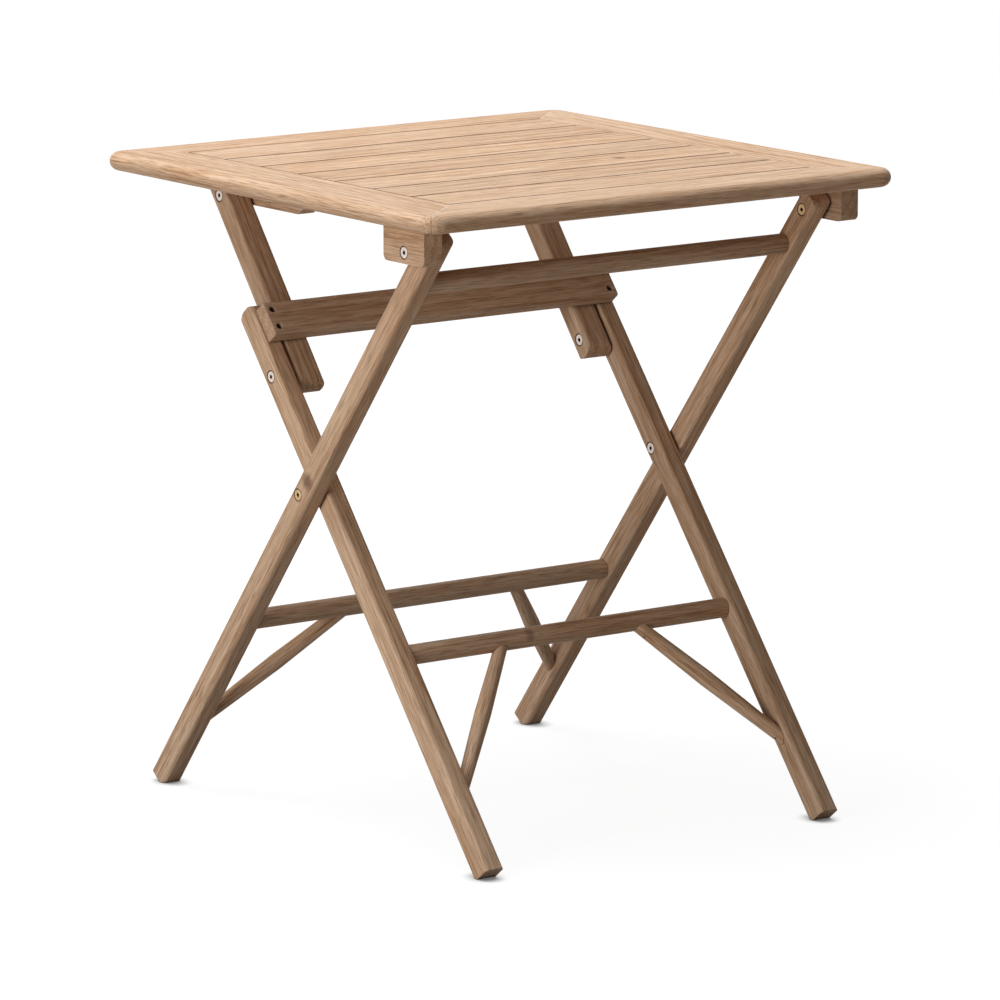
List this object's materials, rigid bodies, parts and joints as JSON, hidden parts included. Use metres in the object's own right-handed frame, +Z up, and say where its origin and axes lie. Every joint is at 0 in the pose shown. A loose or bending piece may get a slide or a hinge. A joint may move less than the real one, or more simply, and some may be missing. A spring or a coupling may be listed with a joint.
{
  "type": "folding table",
  "caption": "Square folding wooden table with a mitred border, a slatted top, crossed legs, braced stretchers and folding links.",
  "frame": {"origin": "on the floor under the middle of the square top", "axes": "+X along the slats to the user's right, +Y to the back, +Z up"},
  "size_m": [0.645, 0.645, 0.74],
  "materials": {
    "wood": "washed oiled hardwood",
    "zinc_fasteners": "satin plated",
    "brass_fasteners": "satin plated",
    "nails": "dark"
  },
  "bodies": {
    "top": {"rail_front": "wood", "rail_back": "wood", "rail_left": "wood", "rail_right": "wood", "slat_1": "wood", "slat_2": "wood", "slat_3": "wood", "slat_4": "wood", "slat_5": "wood", "slat_6": "wood", "slat_7": "wood", "mitre_dowels": "wood", "pivot_block_left": "wood", "pivot_block_right": "wood", "block_screws": "zinc_fasteners", "link_batten_left": "wood", "link_batten_right": "wood", "batten_screws": "zinc_fasteners", "front_pivot_sleeves": "zinc_fasteners", "front_pivot_screws": "brass_fasteners", "front_pivot_washers": "zinc_fasteners", "back_pivot_sleeves": "zinc_fasteners", "back_pivot_screws": "zinc_fasteners", "back_pivot_washers": "zinc_fasteners"},
    "frame_a": {"leg_a_left": "wood", "leg_a_right": "wood", "top_dowel": "wood", "stretcher_a": "wood", "brace_a_left": "wood", "brace_a_right": "wood", "brace_nails_a": "nails", "cross_pivot_sleeves": "brass_fasteners", "cross_pivot_screws": "zinc_fasteners", "cross_pivot_washers": "zinc_fasteners"},
    "frame_b": {"leg_b_left": "wood", "leg_b_right": "wood", "cross_rail": "wood", "cross_rail_screws": "zinc_fasteners", "stretcher_b": "wood", "brace_b_left": "wood", "brace_b_right": "wood", "brace_nails_b": "nails", "link_pivot_sleeves": "zinc_fasteners", "link_pivot_washers": "zinc_fasteners"},
    "link_left": {"link_left": "wood", "link_pivot_screw_left": "zinc_fasteners"},
    "link_right": {"link_right": "wood", "link_pivot_screw_right": "zinc_fasteners"}
  },
  "joints": [
    {"name": "fold", "type": "hinge", "parent": "top", "child": "frame_a", "pos_m": [0, -0.241, 0.69], "axis": [1, 0, 0], "range_deg": [0, 40]},
    {"name": "cross_pivot", "type": "hinge", "parent": "frame_a", "child": "frame_b", "pos_m": [0, 0.003, 0.384], "axis": [1, 0, 0], "range_deg": [0, 67.2]},
    {"name": "link_left_pivot", "type": "hinge", "parent": "top", "child": "link_left", "pos_m": [0, 0.237, 0.69], "axis": [1, 0, 0], "range_deg": [-46.3, 0]},
    {"name": "link_right_pivot", "type": "hinge", "parent": "top", "child": "link_right", "pos_m": [0, 0.237, 0.69], "axis": [1, 0, 0], "range_deg": [-46.3, 0]}
  ],
  "couplings": [
    {"joint": "cross_pivot", "follows": "fold", "ratio": 1.6797},
    {"joint": "link_left_pivot", "follows": "fold", "ratio": -1.1568},
    {"joint": "link_right_pivot", "follows": "fold", "ratio": -1.1568}
  ]
}
